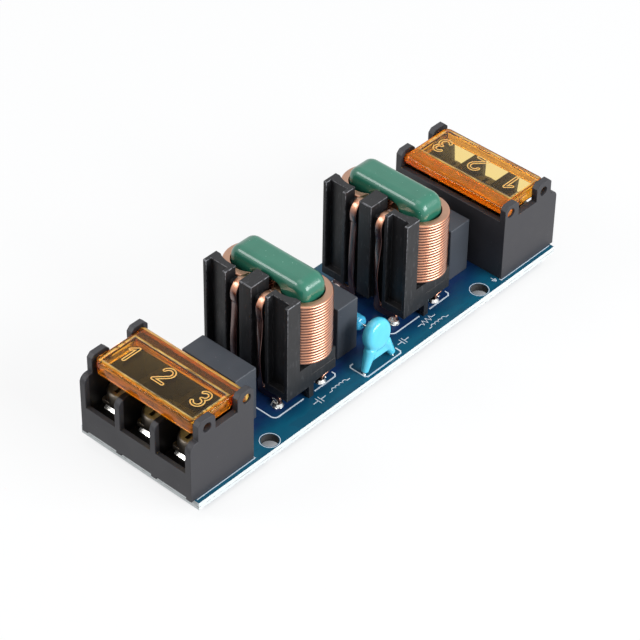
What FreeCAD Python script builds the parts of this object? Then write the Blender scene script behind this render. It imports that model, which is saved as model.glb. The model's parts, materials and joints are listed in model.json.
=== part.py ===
import FreeCAD, Part
import math
import os
from FreeCAD import Vector

# Mains line filter on a circuit board, in millimetres, +Z up.
# Two three-pole terminal blocks with flip covers, two chokes with two windings each,
# three film capacitors, two disc capacitors and a bleed resistor.
# X runs along the board, the front block is at -X. The origin is under the middle of the
# board, level with the tips of the terminal pins.

# Circuit board
board_thickness = 1.6
board_side_margin = 1.0
block_overhang = 0.8
fixing_hole_diameter = 3.3
fixing_hole_from_block = 5.05
fixing_hole_from_edge = 2.05
pin_reach = 2.0
lead_reach = 1.5

# Gaps between the parts along the board, from the front block to the rear one
gap_block_to_capacitor_1 = 2.55
gap_capacitor_1_to_choke_1 = 4.15
gap_choke_1_to_capacitor_2 = 3.1
gap_capacitor_2_to_choke_2 = 8.9
gap_choke_2_to_capacitor_3 = 3.05
gap_capacitor_3_to_block = 1.75

# Terminal block housing, u runs in from its outer face, w up from the board
pole_count = 3
pole_pitch = 8.5
block_depth = 15.3
end_wall_thickness = 1.3
end_wall_beyond_pitch = 0.5
divider_thickness = 1.25
divider_below_cover = 0.7
shoulder_below_notch = 0.35
shoulder_radius = 1.5
lip_height = 5.9
lip_thickness = 1.0
foot_height = 0.5
floor_top = 4.4
floor_thickness = 1.2
inner_wall_thickness = 1.2
inner_wall_below_barrel = 0.6
notch_below_hinge = 1.65
ear_above_hinge = 1.8
ear_chamfer = 0.75
outer_ear_from_face = 1.95
outer_ear_width = 4.2
hinge_ear_width = 3.9
latch_hole_from_ear = 2.2
latch_hole_below_hinge = 0.2
ear_hole_diameter = 1.9

# Flip cover
hinge_from_inner_face = 1.65
hinge_height = 14.6
barrel_radius = 1.1
hinge_pin_clearance = 0.07
hinge_pin_length = 1.1
cover_side_clearance = 0.15
cover_front_from_face = 2.25
cover_plate_thickness = 1.0
cover_front_wall = 0.9
cover_front_wall_drop = 2.8
cover_side_wall = 0.9
cover_side_wall_drop = 2.6
cover_corner_radius = 1.2
hinge_bar_width = 3.5
digit_height = 3.7
digit_stroke = 0.65
digit_depth = 0.2
digit_from_front = 3.45

# Contact plate, clamp washer and screw of one pole
contact_from_face = 3.1
contact_length = 7.8
contact_width = 4.8
contact_thickness = 0.9
contact_chamfer = 0.65
contact_pin_width = 1.2
collar_radius = 2.1
collar_height = 0.8
tapped_hole_clearance = 0.06
screw_from_face = 5.6
screw_shank_radius = 1.5
screw_length = 5.5
screw_head_radius = 2.8
screw_head_height = 2.3
screw_head_round = 0.6
recess_length = 3.6
recess_width = 0.8
recess_depth = 1.2
washer_width = 5.4
washer_thickness = 0.8
washer_corner_radius = 0.5
washer_hole_clearance = 0.1
washer_lift = 0.8

# The chokes stand a little beyond the board's centre line
choke_y = 0.25

# Choke base, measured from the middle of the core
fin_front = 8.2
base_half_width = 10.0
base_underside = 2.7
base_seat_height = 5.2
platform_rear = 4.4
platform_underside = 3.1
side_wall_top = 7.7
side_wall_rear = -2.0
rim_setback = 0.1
fin_top = 23.7
outer_fin_inner_y = 4.7
outer_fin_depth = 3.3
middle_fin_half_width = 1.4
middle_fin_depth = 4.6
web_depth = 1.7
web_top = 21.3
web_round = 0.6
channel_depth = 1.35
channel_rim = 0.65
channel_bottom = 4.3
base_foot_front = -2.5
base_foot_width = 1.2
winding_clearance = 0.3
core_clearance = 0.1

# Choke core, a ring coated all over
core_thickness = 6.1
core_width = 18.3
core_height = 19.5
yoke_thickness = 2.8
leg_width = 6.2
ring_corner_radius = 2.5
window_corner_radius = 0.8
core_edge_radius = 1.6
window_edge_radius = 1.0

# Choke windings, flat wire wound on edge
winding_turns = 21
winding_height = 13.2
winding_radius = 5.4
winding_bore_radius = 4.0
winding_groove = 0.22
winding_from_yoke = 0.3
strip_width = 1.5
strip_thickness = 0.5
strip_bend_radius = 0.8
front_lead_y = 3.05
front_pin_y = 7.0
lead_crest_height = 21.85
jog_height = 1.35
rear_lead_from_core = 4.7
rear_pin_from_core = 2.4
rear_lead_y = 8.05
web_to_strip = 0.05

# Film capacitors
film_case_thickness = 5.3
film_case_width = 12.9
film_case_height = 11.5
film_case_wall = 0.7
film_case_edge_radius = 0.25
film_lead_from_end = 1.45
film_lead_radius = 0.3
film_resin_depth = 1.6
film_resin_recess = 0.3
film_roll_clearance = 0.25

# Disc capacitors
disc_radius = 3.15
disc_thickness = 2.5
disc_centre_height = 6.7
disc_lead_pitch = 7.5
disc_lead_radius = 0.28
disc_lead_from_edge = 1.75
disc_shift = -1.25
disc_lean_degrees = 6.0
disc_leg_foot_radius = 0.7
disc_leg_root_radius = 1.2
disc_leg_foot_height = 0.35
disc_web_thickness = 1.5
disc_web_height = 2.1
disc_lead_seat = 1.2

# Bleed resistor, lies across the board behind the middle film capacitor
resistor_length = 9.0
resistor_end_radius = 1.45
resistor_waist_radius = 1.2
resistor_end_length = 2.1
resistor_round = 0.7
resistor_gap = 2.2
resistor_lead_pitch = 12.7
resistor_lead_radius = 0.3
resistor_bend_radius = 1.0
resistor_lift = 0.3

# Solder
solder_spread = 0.6
solder_height = 1.1
solder_tip_spread = 0.12
top_solder_height = 0.6
hole_clearance = 0.12

# Places worked out from the sizes above
board_top = pin_reach + board_thickness
pin_bottom = -board_thickness - pin_reach
lead_bottom = -board_thickness - lead_reach
block_half_width = pole_count * pole_pitch / 2 + end_wall_beyond_pitch
end_wall_inner_y = block_half_width - end_wall_thickness
board_half_width = block_half_width + board_side_margin
pole_ys = [pole_pitch * ((pole_count - 1) / 2 - i) for i in range(pole_count)]
divider_ys = [pole_pitch * ((pole_count - 2) / 2 - i) for i in range(pole_count - 1)]

winding_bottom = base_seat_height + yoke_thickness + winding_from_yoke
winding_top = winding_bottom + winding_height
winding_y = core_width / 2 - leg_width / 2
choke_rear = winding_radius
strip_x = -fin_front + web_depth / 2 - web_to_strip
choke_length = fin_front + choke_rear
film_lead_pitch = film_case_width - 2 * film_lead_from_end

overall_length = (2 * block_depth + 3 * film_case_thickness + 2 * choke_length
                  + gap_block_to_capacitor_1 + gap_capacitor_1_to_choke_1
                  + gap_choke_1_to_capacitor_2 + gap_capacitor_2_to_choke_2
                  + gap_choke_2_to_capacitor_3 + gap_capacitor_3_to_block)
board_half_length = overall_length / 2 - block_overhang
block_outer_x = -overall_length / 2
capacitor_1_x = block_outer_x + block_depth + gap_block_to_capacitor_1 + film_case_thickness / 2
choke_1_x = capacitor_1_x + film_case_thickness / 2 + gap_capacitor_1_to_choke_1 + fin_front
capacitor_2_x = choke_1_x + choke_rear + gap_choke_1_to_capacitor_2 + film_case_thickness / 2
choke_2_x = capacitor_2_x + film_case_thickness / 2 + gap_capacitor_2_to_choke_2 + fin_front
capacitor_3_x = choke_2_x + choke_rear + gap_choke_2_to_capacitor_3 + film_case_thickness / 2
disc_x = (choke_1_x + choke_2_x - fin_front + choke_rear) / 2 + disc_shift
resistor_x = capacitor_2_x + film_case_thickness / 2 + resistor_gap + resistor_end_radius
fixing_hole_x = overall_length / 2 - block_depth - fixing_hole_from_block
fixing_hole_y = board_half_width - fixing_hole_from_edge

contact_top = floor_top + contact_thickness
contact_pin_u = contact_from_face + contact_length - contact_thickness / 2
washer_bottom = contact_top + washer_lift
washer_top = washer_bottom + washer_thickness
hinge_u = block_depth - hinge_from_inner_face
cover_top = hinge_height + barrel_radius
divider_height = cover_top - cover_front_wall_drop - divider_below_cover
inner_wall_height = hinge_height - barrel_radius - inner_wall_below_barrel
notch_floor = hinge_height - notch_below_hinge
shoulder_height = notch_floor - shoulder_below_notch
ear_height = hinge_height + ear_above_hinge
latch_hole_u = outer_ear_from_face + latch_hole_from_ear
latch_hole_height = hinge_height - latch_hole_below_hinge
cover_half_width = end_wall_inner_y - cover_side_clearance


def box(x0, x1, y0, y1, z0, z1):
    return Part.makeBox(x1 - x0, y1 - y0, z1 - z0, Vector(x0, y0, z0))


def rod(radius, x, y, z0, z1):
    return Part.makeCylinder(radius, z1 - z0, Vector(x, y, z0))


def rod_along_y(radius, x, z, y0, y1):
    return Part.makeCylinder(radius, y1 - y0, Vector(x, y0, z), Vector(0, 1, 0))


def round_edges(shape, radius, wanted):
    edges = [edge for edge in shape.Edges if wanted(edge)]
    return shape.makeFillet(radius, edges)


def is_vertical(edge):
    box_of = edge.BoundBox
    return box_of.ZLength > 1e-6 and box_of.XLength < 1e-6 and box_of.YLength < 1e-6


def is_level(edge):
    return edge.BoundBox.ZLength < 1e-6


def rounded_block(length, width, height, corner_radius):
    block = box(-length / 2, length / 2, -width / 2, width / 2, 0, height)
    return round_edges(block, corner_radius, is_vertical)


def plate_in_xz(points, y0, y1):
    corners = [Vector(x, y0, z) for x, z in points]
    face = Part.Face(Part.makePolygon(corners + corners[:1]))
    return face.extrude(Vector(0, y1 - y0, 0))


def bent_path(points, radius):
    # Straight runs joined by tangent arcs of one radius.
    edges = []
    start = points[0]
    for i in range(1, len(points) - 1):
        corner = points[i]
        back = (points[i - 1] - corner).normalize()
        ahead = (points[i + 1] - corner).normalize()
        half_angle = back.getAngle(ahead) / 2
        reach = radius / math.tan(half_angle)
        bisector = (back + ahead).normalize()
        centre = corner + bisector * (radius / math.sin(half_angle))
        arc_start = corner + back * reach
        arc_end = corner + ahead * reach
        edges.append(Part.LineSegment(start, arc_start).toShape())
        edges.append(Part.Arc(arc_start, centre - bisector * radius, arc_end).toShape())
        start = arc_end
    edges.append(Part.LineSegment(start, points[-1]).toShape())
    return Part.Wire(edges)


def bent_wire(points, radius, bend_radius):
    path = bent_path(points, bend_radius)
    section = Part.Wire(Part.makeCircle(radius, points[0], points[1] - points[0]))
    return path.makePipeShell([section], True, False)


def bent_strip(points, across, width, thickness, bend_radius):
    # A flat strip whose width lies along the vector across.
    path = bent_path(points, bend_radius)
    side = (points[1] - points[0]).cross(across).normalize() * (thickness / 2)
    edge = across * (width / 2)
    corners = [points[0] + side + edge, points[0] - side + edge, points[0] - side - edge,
               points[0] + side - edge]
    section = Part.makePolygon(corners + corners[:1])
    return path.makePipeShell([section], True, False)


def mirrored_y(shape):
    return shape.mirror(Vector(0, 0, 0), Vector(0, 1, 0))


def raised(shape, x=0, y=0):
    return shape.translated(Vector(x, y, board_top))


def at_end(shape, end):
    # Blocks are drawn with u = 0 at the outer face. The rear block is the front one turned round.
    placed = raised(shape, block_outer_x)
    if end == "rear":
        placed.rotate(Vector(0, 0, 0), Vector(0, 0, 1), 180)
    return placed


def end_wall(y0, y1):
    hinge_ear_u = block_depth - hinge_ear_width
    outer_ear_end = outer_ear_from_face + outer_ear_width
    outline = [(0, 0), (block_depth, 0),
               (block_depth, ear_height - ear_chamfer), (block_depth - ear_chamfer, ear_height),
               (hinge_ear_u + ear_chamfer, ear_height), (hinge_ear_u, ear_height - ear_chamfer),
               (hinge_ear_u, notch_floor), (outer_ear_end, notch_floor),
               (outer_ear_end, ear_height - ear_chamfer), (outer_ear_end - ear_chamfer, ear_height),
               (outer_ear_from_face + ear_chamfer, ear_height),
               (outer_ear_from_face, ear_height - ear_chamfer),
               (outer_ear_from_face, shoulder_height), (0, shoulder_height)]
    wall = plate_in_xz(outline, y0, y1)
    wall = round_edges(wall, shoulder_radius, lambda edge: is_shoulder(edge, shoulder_height))
    for u, w in ((latch_hole_u, latch_hole_height), (hinge_u, hinge_height)):
        wall = wall.cut(rod_along_y(ear_hole_diameter / 2, u, w, y0, y1))
    return wall


def is_shoulder(edge, height):
    size = edge.BoundBox
    return size.XMax < 1e-6 and size.ZLength < 1e-6 and abs(size.ZMin - height) < 1e-6


def terminal_housing():
    half = block_half_width
    inner_wall_u = block_depth - inner_wall_thickness
    housing = box(inner_wall_u, block_depth, -half, half, 0, inner_wall_height)
    housing = housing.fuse(box(0, lip_thickness, -half, half, foot_height, lip_height))
    floor_bottom = floor_top - floor_thickness
    housing = housing.fuse(box(lip_thickness, inner_wall_u, -half, half, floor_bottom, floor_top))
    for y in divider_ys:
        outline = [(0, 0), (inner_wall_u, 0), (inner_wall_u, divider_height), (0, divider_height)]
        divider = plate_in_xz(outline, y - divider_thickness / 2, y + divider_thickness / 2)
        divider = round_edges(divider, shoulder_radius, lambda edge: is_shoulder(edge, divider_height))
        housing = housing.fuse(divider)
    housing = housing.fuse(end_wall(-half, -end_wall_inner_y))
    housing = housing.fuse(end_wall(end_wall_inner_y, half))
    for y in pole_ys:
        collar_hole = rod(collar_radius + hole_clearance, screw_from_face, y, 0, floor_top)
        slot_half_u = contact_thickness / 2 + hole_clearance
        slot_half_y = contact_pin_width / 2 + hole_clearance
        slot = box(contact_pin_u - slot_half_u, contact_pin_u + slot_half_u,
                   y - slot_half_y, y + slot_half_y, 0, floor_top)
        housing = housing.cut(collar_hole.fuse(slot))
    return housing.removeSplitter()


def contact_pin():
    return box(contact_pin_u - contact_thickness / 2, contact_pin_u + contact_thickness / 2,
               -contact_pin_width / 2, contact_pin_width / 2, pin_bottom, contact_top)


def contact():
    front = contact_from_face
    end = front + contact_length
    outline = [(front, floor_top), (end, floor_top), (end, contact_top),
               (front + contact_chamfer, contact_top), (front, contact_top - contact_chamfer)]
    plate = plate_in_xz(outline, -contact_width / 2, contact_width / 2)
    plate = plate.fuse(contact_pin())
    plate = plate.fuse(rod(collar_radius, screw_from_face, 0, floor_top - collar_height, floor_top))
    hole_radius = screw_shank_radius + tapped_hole_clearance
    hole = rod(hole_radius, screw_from_face, 0, floor_top - collar_height, contact_top)
    return plate.cut(hole).removeSplitter()


def clamp_washer():
    plate = rounded_block(washer_width, washer_width, washer_thickness, washer_corner_radius)
    plate.translate(Vector(screw_from_face, 0, washer_bottom))
    hole_radius = screw_shank_radius + washer_hole_clearance
    return plate.cut(rod(hole_radius, screw_from_face, 0, washer_bottom, washer_top))


def terminal_screw():
    head_top = washer_top + screw_head_height
    head = rod(screw_head_radius, screw_from_face, 0, washer_top, head_top)
    head = round_edges(head, screw_head_round,
                       lambda edge: is_level(edge) and edge.BoundBox.ZMin > washer_top + 1e-6)
    shank = rod(screw_shank_radius, screw_from_face, 0, washer_top - screw_length, washer_top)
    screw = head.fuse(shank)
    half_length = recess_length / 2
    half_width = recess_width / 2
    for half_x, half_y in ((half_length, half_width), (half_width, half_length)):
        arm = box(screw_from_face - half_x, screw_from_face + half_x, -half_y, half_y,
                  head_top - recess_depth, head_top)
        screw = screw.cut(arm)
    return screw.removeSplitter()


def digit_strokes(digit):
    # Centre lines of one digit, across to its right and up from its foot, in parts of its height.
    if digit == 1:
        return [[(-0.16, 0.74), (0.12, 1.0)], [(0.12, 1.0), (0.12, 0.0)]]
    if digit == 2:
        bowl = arc_points(0.0, 0.72, 0.28, 170, -35, 8)
        return [bowl + [(-0.3, 0.0)], [(-0.3, 0.0), (0.3, 0.0)]]
    return [arc_points(0.0, 0.765, 0.235, 150, -90, 8), arc_points(0.0, 0.265, 0.265, 90, -150, 8)]


def arc_points(centre_x, centre_y, radius, start, end, steps):
    angles = [math.radians(start + (end - start) * i / steps) for i in range(steps + 1)]
    return [(centre_x + radius * math.cos(a), centre_y + radius * math.sin(a)) for a in angles]


def digit_groove(digit, y):
    # The foot of the digit is towards the wire entries.
    foot_u = cover_front_from_face + digit_from_front
    z0 = cover_top - digit_depth
    pieces = []
    for stroke in digit_strokes(digit):
        centres = [Vector(foot_u + up * digit_height, y - across * digit_height, z0)
                   for across, up in stroke]
        pieces += [Part.makeCylinder(digit_stroke / 2, digit_depth, centre) for centre in centres]
        for start, stop in zip(centres, centres[1:]):
            along = (stop - start).normalize()
            side = Vector(-along.y, along.x, 0) * (digit_stroke / 2)
            corners = [start + side, stop + side, stop - side, start - side]
            bar = Part.Face(Part.makePolygon(corners + corners[:1]))
            pieces.append(bar.extrude(Vector(0, 0, digit_depth)))
    return pieces[0].fuse(pieces[1:])


def terminal_cover():
    half = cover_half_width
    front = cover_front_from_face
    cover = box(front, hinge_u, -half, half, cover_top - cover_front_wall_drop, cover_top)
    cover = round_edges(cover, cover_corner_radius,
                        lambda edge: is_vertical(edge) and edge.BoundBox.XMax < front + 1e-6)
    bar_front = hinge_u + barrel_radius - hinge_bar_width
    side_bottom = cover_top - cover_side_wall_drop
    plate_bottom = cover_top - cover_plate_thickness
    lowest = cover_top - cover_front_wall_drop
    hollow = box(front + cover_front_wall, bar_front, cover_side_wall - half, half - cover_side_wall,
                 lowest, plate_bottom)
    below_sides = box(front + cover_front_wall, hinge_u, -half, half, lowest, side_bottom)
    below_bar = box(bar_front, hinge_u, -half, half, lowest, hinge_height - barrel_radius)
    cover = cover.cut(hollow.fuse([below_sides, below_bar]))
    cover = cover.fuse(rod_along_y(barrel_radius, hinge_u, hinge_height, -half, half))
    pin_end = half + hinge_pin_length
    pin_radius = ear_hole_diameter / 2 - hinge_pin_clearance
    cover = cover.fuse(rod_along_y(pin_radius, hinge_u, hinge_height, -pin_end, pin_end))
    for number, y in enumerate(pole_ys, 1):
        cover = cover.cut(digit_groove(number, y))
    return cover.removeSplitter()


def choke_core():
    # A ring that stands across the board, with all its rims rounded.
    half = core_thickness / 2
    ring = rounded_block(core_height, core_width, core_thickness, ring_corner_radius)
    ring = round_edges(ring, core_edge_radius, is_level)
    half_height = core_height / 2 - yoke_thickness
    half_width = core_width / 2 - leg_width
    window = rounded_block(2 * half_height, 2 * half_width, core_thickness, window_corner_radius)

    def on_window_rim(edge):
        middle = edge.CenterOfMass
        return (is_level(edge) and abs(middle.x) < half_height + 1e-6
                and abs(middle.y) < half_width + 1e-6)

    core = round_edges(ring.cut(window), window_edge_radius, on_window_rim)
    core.rotate(Vector(0, 0, 0), Vector(0, 1, 0), 90)
    core.translate(Vector(-half, 0, base_seat_height + core_height / 2))
    return core


def choke_base():
    front = -fin_front
    rear = platform_rear
    width = base_half_width
    web_front = front + web_depth / 2 + strip_thickness / 2
    web_rear = front + outer_fin_depth
    tray = box(web_front, side_wall_rear, -width, width, base_underside, side_wall_top)
    base = tray.fuse(box(side_wall_rear, rear, -width, width, platform_underside, base_seat_height))
    rim_half = width - rim_setback
    base = base.fuse(box(side_wall_rear, rear, -rim_half, rim_half, base_seat_height, side_wall_top))
    web = box(web_front, web_rear, -width, width, base_underside, web_top)
    web = round_edges(web, web_round,
                      lambda edge: edge.BoundBox.XMax < web_front + 1e-6 and edge.BoundBox.ZMin > web_top - 1e-6)
    base = base.fuse(web)
    middle = middle_fin_half_width
    base = base.fuse(box(front, front + middle_fin_depth, -middle, middle, base_underside, fin_top))
    fin = box(front, front + outer_fin_depth, outer_fin_inner_y, width, base_underside, fin_top)
    base = base.fuse(fin).fuse(mirrored_y(fin))
    channel = box(front, front + channel_depth, outer_fin_inner_y + channel_rim, width - channel_rim,
                  channel_bottom, fin_top)
    base = base.cut(channel).cut(mirrored_y(channel))
    for side in (-1, 1):
        foot = box(base_foot_front, base_foot_front + base_foot_width,
                   width - base_foot_width, width, 0, platform_underside)
        base = base.fuse(foot if side > 0 else mirrored_y(foot))
    core_space = rounded_block(core_thickness + 2 * core_clearance, core_width + 2 * core_clearance,
                               side_wall_top, core_edge_radius)
    core_space.translate(Vector(0, 0, base_seat_height))
    base = base.cut(core_space)
    for side in (-1, 1):
        base = base.cut(rod(winding_radius + winding_clearance, 0, side * winding_y,
                            side_wall_top, fin_top))
    return base.removeSplitter()


def winding_body():
    # The turns lie on each other: one ridge for each of them.
    pitch = winding_height / winding_turns
    outline = [Vector(winding_bore_radius, 0, winding_bottom)]
    for turn in range(winding_turns):
        z = winding_bottom + turn * pitch
        outline.append(Vector(winding_radius - winding_groove, 0, z))
        outline.append(Vector(winding_radius, 0, z + pitch / 2))
    outline.append(Vector(winding_radius - winding_groove, 0, winding_top))
    outline.append(Vector(winding_bore_radius, 0, winding_top))
    face = Part.Face(Part.makePolygon(outline + outline[:1]))
    return face.revolve(Vector(0, 0, 0), Vector(0, 0, 1), 360)


def front_lead():
    # Over the web, down the slot between the fins, then sideways under the fin to its pin.
    y = front_lead_y
    crest = lead_crest_height - strip_thickness / 2
    start_x = -core_thickness / 2 - 0.3
    over = bent_strip([Vector(start_x, y, winding_top), Vector(start_x - 1.6, y, crest),
                       Vector(strip_x, y, crest), Vector(strip_x, y, jog_height + 2 * strip_width)],
                      Vector(0, 1, 0), strip_width, strip_thickness, strip_bend_radius)
    down = bent_strip([Vector(strip_x, y, jog_height + 2 * strip_width), Vector(strip_x, y, jog_height),
                       Vector(strip_x, front_pin_y, jog_height), Vector(strip_x, front_pin_y, lead_bottom)],
                      Vector(0, 1, 0), strip_width, strip_thickness, strip_bend_radius)
    return over.fuse(down)


def rear_lead():
    # Down behind the platform, then forwards under it to its pin.
    y = rear_lead_y
    return bent_strip([Vector(rear_lead_from_core, y, winding_bottom + strip_thickness),
                       Vector(rear_lead_from_core, y, jog_height),
                       Vector(rear_pin_from_core, y, jog_height),
                       Vector(rear_pin_from_core, y, lead_bottom)],
                      Vector(0, 1, 0), strip_width, strip_thickness, strip_bend_radius)


def choke_winding():
    winding = winding_body().translated(Vector(0, winding_y, 0))
    return winding.fuse([front_lead(), rear_lead()])


def film_pocket_half_sizes():
    return film_case_thickness / 2 - film_case_wall, film_case_width / 2 - film_case_wall


def film_case():
    case = box(-film_case_thickness / 2, film_case_thickness / 2,
               -film_case_width / 2, film_case_width / 2, 0, film_case_height)
    case = round_edges(case, film_case_edge_radius, lambda edge: edge.BoundBox.ZMax > 1e-6)
    half_x, half_y = film_pocket_half_sizes()
    return case.cut(box(-half_x, half_x, -half_y, half_y, 0, film_case_height - film_case_wall))


def film_leads():
    half_pitch = film_lead_pitch / 2
    lead_top = film_case_height * 0.6
    return Part.Compound([rod(film_lead_radius, 0, side * half_pitch, lead_bottom, lead_top)
                          for side in (-1, 1)])


def film_resin():
    half_x, half_y = film_pocket_half_sizes()
    resin = box(-half_x, half_x, -half_y, half_y, film_resin_recess,
                film_resin_recess + film_resin_depth)
    return resin.cut(film_leads())


def film_roll():
    # A flattened roll with its ends at the two leads.
    half_x = film_pocket_half_sizes()[0] - film_roll_clearance
    half_y = film_lead_pitch / 2 - film_lead_radius
    bottom = film_resin_recess + film_resin_depth
    top = film_case_height - film_case_wall - film_roll_clearance
    roll = box(-half_x, half_x, -half_y, half_y, bottom, top)
    return round_edges(roll, half_x * 0.9,
                       lambda edge: edge.BoundBox.YLength > half_y and edge.BoundBox.ZMin > 0)


def disc_leads():
    half_pitch = disc_lead_pitch / 2
    lead_top = disc_leg_foot_height + disc_lead_seat
    return Part.Compound([rod(disc_lead_radius, side * half_pitch, 0, lead_bottom, lead_top)
                          for side in (-1, 1)])


def disc_body():
    # A round lens with two coated legs and a web between them, leaning in over the board.
    disc = rod_along_y(disc_radius, 0, disc_centre_height, -disc_thickness / 2, disc_thickness / 2)
    disc = round_edges(disc, disc_thickness * 0.45, lambda edge: edge.BoundBox.YLength < 1e-6)
    half_pitch = disc_lead_pitch / 2
    web_outline = [(-half_pitch * 0.7, disc_web_height), (half_pitch * 0.7, disc_web_height),
                   (disc_radius * 0.8, disc_centre_height), (-disc_radius * 0.8, disc_centre_height)]
    disc = disc.fuse(plate_in_xz(web_outline, -disc_web_thickness / 2, disc_web_thickness / 2))
    for side in (-1, 1):
        foot = Vector(side * half_pitch, 0, disc_leg_foot_height)
        root = Vector(side * half_pitch * 0.5, 0, disc_centre_height * 0.65)
        leg = Part.makeCone(disc_leg_foot_radius, disc_leg_root_radius, (root - foot).Length,
                            foot, root - foot)
        disc = disc.fuse(leg)
    disc.rotate(Vector(0, 0, disc_leg_foot_height), Vector(1, 0, 0), -disc_lean_degrees)
    return disc.cut(disc_leads())


def resistor_body():
    half = resistor_length / 2
    waist = half - resistor_end_length
    outline = [(0, -half), (resistor_end_radius, -half), (resistor_end_radius, -waist),
               (resistor_waist_radius, -waist + resistor_round),
               (resistor_waist_radius, waist - resistor_round),
               (resistor_end_radius, waist), (resistor_end_radius, half), (0, half)]
    corners = [Vector(r, y, 0) for r, y in outline]
    face = Part.Face(Part.makePolygon(corners + corners[:1]))
    body = face.revolve(Vector(0, 0, 0), Vector(0, 1, 0), 360)
    body = round_edges(body, resistor_round,
                       lambda edge: abs(abs(edge.BoundBox.YMin) - half) < 1e-6
                       and edge.BoundBox.YLength < 1e-6 and edge.BoundBox.XLength > 1e-6)
    body.translate(Vector(0, 0, resistor_end_radius + resistor_lift))
    return body


def resistor_leads():
    z = resistor_end_radius + resistor_lift
    half_pitch = resistor_lead_pitch / 2
    lead = bent_wire([Vector(0, resistor_length / 2, z), Vector(0, half_pitch, z),
                      Vector(0, half_pitch, lead_bottom)], resistor_lead_radius, resistor_bend_radius)
    return Part.Compound([lead, mirrored_y(lead)])


def strip_pin(x, y):
    return box(x - strip_thickness / 2, x + strip_thickness / 2,
               y - strip_width / 2, y + strip_width / 2, lead_bottom, 0)


def pins():
    # Every pin and lead that goes through the board: its shape, middle and half diagonal.
    found = []
    pin_half = math.hypot(contact_thickness, contact_pin_width) / 2
    pin_x = block_outer_x + contact_pin_u
    for end_x in (pin_x, -pin_x):
        for y in pole_ys:
            shape = contact_pin().translated(Vector(end_x - contact_pin_u, y, 0))
            found.append((shape, end_x, y, pin_half, 0))
    strip_half = math.hypot(strip_thickness, strip_width) / 2
    for choke_x in (choke_1_x, choke_2_x):
        for side in (-1, 1):
            for x, from_middle in ((choke_x + strip_x, front_pin_y),
                                   (choke_x + rear_pin_from_core, rear_lead_y)):
                y = choke_y + side * from_middle
                found.append((strip_pin(x, y), x, y, strip_half, top_solder_height))
    round_leads = [(x, side * film_lead_pitch / 2, film_lead_radius)
                   for x in (capacitor_1_x, capacitor_2_x, capacitor_3_x) for side in (-1, 1)]
    disc_y = board_half_width - disc_lead_from_edge
    round_leads += [(disc_x + along * disc_lead_pitch / 2, across * disc_y, disc_lead_radius)
                    for across in (-1, 1) for along in (-1, 1)]
    round_leads += [(resistor_x, side * resistor_lead_pitch / 2, resistor_lead_radius)
                    for side in (-1, 1)]
    for x, y, radius in round_leads:
        found.append((rod(radius, x, y, lead_bottom, 0), x, y, radius, 0))
    return found


def circuit_board():
    board = box(-board_half_length, board_half_length, -board_half_width, board_half_width,
                -board_thickness, 0)
    holes = [rod(fixing_hole_diameter / 2, side_x * fixing_hole_x, side_y * fixing_hole_y,
                 -board_thickness, 0) for side_x in (-1, 1) for side_y in (-1, 1)]
    for shape, x, y, half_size, top_height in pins():
        holes.append(rod(half_size + hole_clearance, x, y, -board_thickness, 0))
    return board.cut(holes)


def solder_joints():
    # The solder fills the hole round each pin and rises along it.
    joints = []
    for shape, x, y, half_size, top_height in pins():
        hole_radius = half_size + hole_clearance
        joint = rod(hole_radius, x, y, -board_thickness, 0)
        tip_radius = half_size + solder_tip_spread
        below = Part.makeCone(tip_radius, hole_radius + solder_spread, solder_height,
                              Vector(x, y, -board_thickness - solder_height))
        joint = joint.fuse(below)
        if top_height > 0:
            joint = joint.fuse(Part.makeCone(hole_radius + solder_spread / 2, tip_radius, top_height,
                                             Vector(x, y, 0)))
        through = shape.fuse(shape.translated(Vector(0, 0, top_height)))
        joints.append(joint.cut(through))
    return Part.Compound(joints)


def export(name, shape):
    if not shape.isValid():
        raise ValueError(name + " is not a valid solid")
    shape.exportStep("parts/" + name + ".step")
    print(name, len(shape.Solids), round(shape.Volume, 3))


def build_terminal_blocks():
    housing = terminal_housing()
    cover = terminal_cover()
    pole_pieces = [("contact", contact()), ("clamp_washer", clamp_washer()),
                   ("terminal_screw", terminal_screw())]
    for end in ("front", "rear"):
        export(end + "_terminal_housing", at_end(housing, end))
        export(end + "_terminal_cover", at_end(cover, end))
        for name, piece in pole_pieces:
            for number, y in enumerate(pole_ys, 1):
                placed = at_end(piece.translated(Vector(0, y, 0)), end)
                export("%s_%s_%d" % (end, name, number), placed)


def build_chokes():
    pieces = [("base", choke_base()), ("core", choke_core()), ("far_winding", choke_winding())]
    pieces.append(("near_winding", mirrored_y(pieces[-1][1])))
    for name, x in (("front_choke", choke_1_x), ("rear_choke", choke_2_x)):
        for piece_name, piece in pieces:
            export(name + "_" + piece_name, raised(piece, x, choke_y))


def build_film_capacitors():
    pieces = [("case", film_case()), ("roll", film_roll()), ("resin", film_resin()),
              ("leads", film_leads())]
    for number, x in enumerate((capacitor_1_x, capacitor_2_x, capacitor_3_x), 1):
        for piece_name, piece in pieces:
            export("film_capacitor_%d_%s" % (number, piece_name), raised(piece, x))


def build_disc_capacitors():
    y = board_half_width - disc_lead_from_edge
    near_body = disc_body()
    leads = disc_leads()
    export("disc_capacitor_near_body", raised(near_body, disc_x, -y))
    export("disc_capacitor_near_leads", raised(leads, disc_x, -y))
    export("disc_capacitor_far_body", raised(mirrored_y(near_body), disc_x, y))
    export("disc_capacitor_far_leads", raised(leads, disc_x, y))


os.makedirs("parts", exist_ok=True)
export("circuit_board", raised(circuit_board()))
export("solder_joints", raised(solder_joints()))
build_terminal_blocks()
build_chokes()
build_film_capacitors()
build_disc_capacitors()
export("bleed_resistor_body", raised(resistor_body(), resistor_x))
export("bleed_resistor_leads", raised(resistor_leads(), resistor_x))
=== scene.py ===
import json
import math
import bmesh
import bpy
from mathutils import Matrix, Vector, noise

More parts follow.
